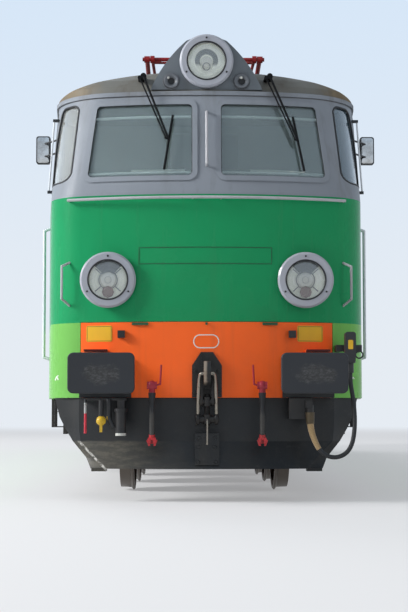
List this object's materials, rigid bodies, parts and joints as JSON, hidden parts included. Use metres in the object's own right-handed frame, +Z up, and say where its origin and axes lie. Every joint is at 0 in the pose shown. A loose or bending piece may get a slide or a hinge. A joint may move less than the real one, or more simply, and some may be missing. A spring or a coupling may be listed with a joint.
{
  "type": "electric locomotive",
  "caption": "Mainline electric locomotive with a cab at each end, two yawing bogies, spinning wheelsets, opening side doors and folding pantographs.",
  "frame": {"origin": "under the locomotive's centre, at the tips of the wheel flanges, 28 mm below the rail top", "axes": "+X across, to the right of someone facing the front end from outside, +Y along towards the rear end, +Z up"},
  "size_m": [3.156, 19.24, 4.6044],
  "materials": {
    "dark_green_paint": "semi-gloss, dusty",
    "orange_paint": "semi-gloss, scuffed",
    "grey_paint": "semi-gloss",
    "roof_paint": "matt, sooty",
    "black_paint": "matt, grimy",
    "cabin_paint": "satin",
    "cabin_plastic": "matt",
    "machinery_paint": "satin",
    "lamp_paint": "semi-gloss",
    "lamp_glass": "clear",
    "window_glass": "clear",
    "rail_paint": "semi-gloss",
    "worn_steel": "greased and worn",
    "wheel_steel": "worn tread, rusty web",
    "red_paint": "semi-gloss",
    "hose_rubber": "matt",
    "insulator_ceramic": "glazed"
  },
  "bodies": {
    "carbody": {"cab_noses": "dark_green_paint", "headstocks": "orange_paint", "cab_window_bands": "grey_paint", "cab_roofs": "roof_paint", "side_walls": "dark_green_paint", "side_louvres": "grey_paint", "window_glass": "window_glass", "roof_panels": "roof_paint", "underframe": "black_paint", "bulkheads": "cabin_paint", "cab_furniture": "cabin_plastic", "machinery_block": "machinery_paint", "lamp_fairings": "roof_paint", "headlights": "lamp_paint", "headlight_lenses": "lamp_glass", "end_handrails": "rail_paint", "wipers": "black_paint", "mirrors": "black_paint", "side_handrails": "rail_paint", "door_steps": "black_paint", "buffer_casings": "black_paint", "buffer_heads": "worn_steel", "draw_hooks": "black_paint", "screw_couplings": "worn_steel", "ploughs": "black_paint", "end_connections": "red_paint", "brake_hose_left": "hose_rubber", "brake_hose_right": "hose_rubber", "hose_heads": "red_paint", "jumper_cable": "hose_rubber", "jumper_plug": "black_paint", "underfloor_boxes": "black_paint", "roof_line_gear": "red_paint", "roof_insulators": "insulator_ceramic"},
    "door_front_left": {"door_front_left": "dark_green_paint"},
    "door_front_right": {"door_front_right": "dark_green_paint"},
    "door_rear_left": {"door_rear_left": "dark_green_paint"},
    "door_rear_right": {"door_rear_right": "dark_green_paint"},
    "bogie_front": {"bogie_frame_front": "black_paint", "bogie_suspension_front": "black_paint", "traction_motors_front": "black_paint"},
    "wheelset_1": {"wheelset_1": "wheel_steel"},
    "wheelset_2": {"wheelset_2": "wheel_steel"},
    "wheelset_3": {"wheelset_3": "wheel_steel"},
    "bogie_rear": {"bogie_frame_rear": "black_paint", "bogie_suspension_rear": "black_paint", "traction_motors_rear": "black_paint"},
    "wheelset_4": {"wheelset_4": "wheel_steel"},
    "wheelset_5": {"wheelset_5": "wheel_steel"},
    "wheelset_6": {"wheelset_6": "wheel_steel"},
    "panto_front_lower_a": {"panto_front_lower_a": "red_paint"},
    "panto_front_lower_b": {"panto_front_lower_b": "red_paint"},
    "panto_front_upper_a": {"panto_front_upper_a": "red_paint"},
    "panto_front_upper_b": {"panto_front_upper_b": "red_paint"},
    "panto_front_head": {"panto_front_head": "red_paint"},
    "panto_rear_lower_a": {"panto_rear_lower_a": "red_paint"},
    "panto_rear_lower_b": {"panto_rear_lower_b": "red_paint"},
    "panto_rear_upper_a": {"panto_rear_upper_a": "red_paint"},
    "panto_rear_upper_b": {"panto_rear_upper_b": "red_paint"},
    "panto_rear_head": {"panto_rear_head": "red_paint"}
  },
  "joints": [
    {"name": "door_front_left_hinge", "type": "hinge", "parent": "carbody", "child": "door_front_left", "pos_m": [-1.318, -6.664, 2.45], "axis": [0, 0, 1], "range_deg": [0, 85]},
    {"name": "door_front_right_hinge", "type": "hinge", "parent": "carbody", "child": "door_front_right", "pos_m": [1.318, -6.664, 2.45], "axis": [0, 0, -1], "range_deg": [0, 85]},
    {"name": "door_rear_left_hinge", "type": "hinge", "parent": "carbody", "child": "door_rear_left", "pos_m": [-1.318, 6.664, 2.45], "axis": [0, 0, -1], "range_deg": [0, 85]},
    {"name": "door_rear_right_hinge", "type": "hinge", "parent": "carbody", "child": "door_rear_right", "pos_m": [1.318, 6.664, 2.45], "axis": [0, 0, 1], "range_deg": [0, 85]},
    {"name": "bogie_front_yaw", "type": "hinge", "parent": "carbody", "child": "bogie_front", "pos_m": [0, -5.15, 1.128], "axis": [0, 0, 1], "range_deg": [-3, 3]},
    {"name": "wheelset_1_spin", "type": "hinge", "parent": "bogie_front", "child": "wheelset_1", "pos_m": [0, -6.9, 0.653], "axis": [1, 0, 0], "continuous": true},
    {"name": "wheelset_2_spin", "type": "hinge", "parent": "bogie_front", "child": "wheelset_2", "pos_m": [0, -5.15, 0.653], "axis": [1, 0, 0], "continuous": true},
    {"name": "wheelset_3_spin", "type": "hinge", "parent": "bogie_front", "child": "wheelset_3", "pos_m": [0, -3.4, 0.653], "axis": [1, 0, 0], "continuous": true},
    {"name": "bogie_rear_yaw", "type": "hinge", "parent": "carbody", "child": "bogie_rear", "pos_m": [0, 5.15, 1.128], "axis": [0, 0, 1], "range_deg": [-3, 3]},
    {"name": "wheelset_4_spin", "type": "hinge", "parent": "bogie_rear", "child": "wheelset_4", "pos_m": [0, 3.4, 0.653], "axis": [1, 0, 0], "continuous": true},
    {"name": "wheelset_5_spin", "type": "hinge", "parent": "bogie_rear", "child": "wheelset_5", "pos_m": [0, 5.15, 0.653], "axis": [1, 0, 0], "continuous": true},
    {"name": "wheelset_6_spin", "type": "hinge", "parent": "bogie_rear", "child": "wheelset_6", "pos_m": [0, 6.9, 0.653], "axis": [1, 0, 0], "continuous": true},
    {"name": "panto_front_raise", "type": "hinge", "parent": "carbody", "child": "panto_front_lower_a", "pos_m": [0, -4.92, 4.343], "axis": [-1, 0, 0], "range_deg": [0, 42]},
    {"name": "panto_front_lower_b_turn", "type": "hinge", "parent": "carbody", "child": "panto_front_lower_b", "pos_m": [0, -4.38, 4.343], "axis": [1, 0, 0], "range_deg": [0, 42]},
    {"name": "panto_front_upper_a_turn", "type": "hinge", "parent": "panto_front_lower_a", "child": "panto_front_upper_a", "pos_m": [0, -6.53778, 4.42778], "axis": [1, 0, 0], "range_deg": [0, 84]},
    {"name": "panto_front_upper_b_turn", "type": "hinge", "parent": "panto_front_lower_b", "child": "panto_front_upper_b", "pos_m": [0, -2.76222, 4.42778], "axis": [-1, 0, 0], "range_deg": [0, 84]},
    {"name": "panto_front_head_level", "type": "hinge", "parent": "panto_front_upper_a", "child": "panto_front_head", "pos_m": [0, -4.92, 4.51257], "axis": [-1, 0, 0], "range_deg": [0, 42]},
    {"name": "panto_rear_raise", "type": "hinge", "parent": "carbody", "child": "panto_rear_lower_a", "pos_m": [0, 4.38, 4.343], "axis": [-1, 0, 0], "range_deg": [0, 42]},
    {"name": "panto_rear_lower_b_turn", "type": "hinge", "parent": "carbody", "child": "panto_rear_lower_b", "pos_m": [0, 4.92, 4.343], "axis": [1, 0, 0], "range_deg": [0, 42]},
    {"name": "panto_rear_upper_a_turn", "type": "hinge", "parent": "panto_rear_lower_a", "child": "panto_rear_upper_a", "pos_m": [0, 2.76222, 4.42778], "axis": [1, 0, 0], "range_deg": [0, 84]},
    {"name": "panto_rear_upper_b_turn", "type": "hinge", "parent": "panto_rear_lower_b", "child": "panto_rear_upper_b", "pos_m": [0, 6.53778, 4.42778], "axis": [-1, 0, 0], "range_deg": [0, 84]},
    {"name": "panto_rear_head_level", "type": "hinge", "parent": "panto_rear_upper_a", "child": "panto_rear_head", "pos_m": [0, 4.38, 4.51257], "axis": [-1, 0, 0], "range_deg": [0, 42]}
  ],
  "couplings": [
    {"joint": "panto_front_lower_b_turn", "follows": "panto_front_raise", "ratio": 1},
    {"joint": "panto_front_upper_a_turn", "follows": "panto_front_raise", "ratio": 2},
    {"joint": "panto_front_upper_b_turn", "follows": "panto_front_raise", "ratio": 2},
    {"joint": "panto_front_head_level", "follows": "panto_front_raise", "ratio": 1},
    {"joint": "panto_rear_lower_b_turn", "follows": "panto_rear_raise", "ratio": 1},
    {"joint": "panto_rear_upper_a_turn", "follows": "panto_rear_raise", "ratio": 2},
    {"joint": "panto_rear_upper_b_turn", "follows": "panto_rear_raise", "ratio": 2},
    {"joint": "panto_rear_head_level", "follows": "panto_rear_raise", "ratio": 1}
  ]
}
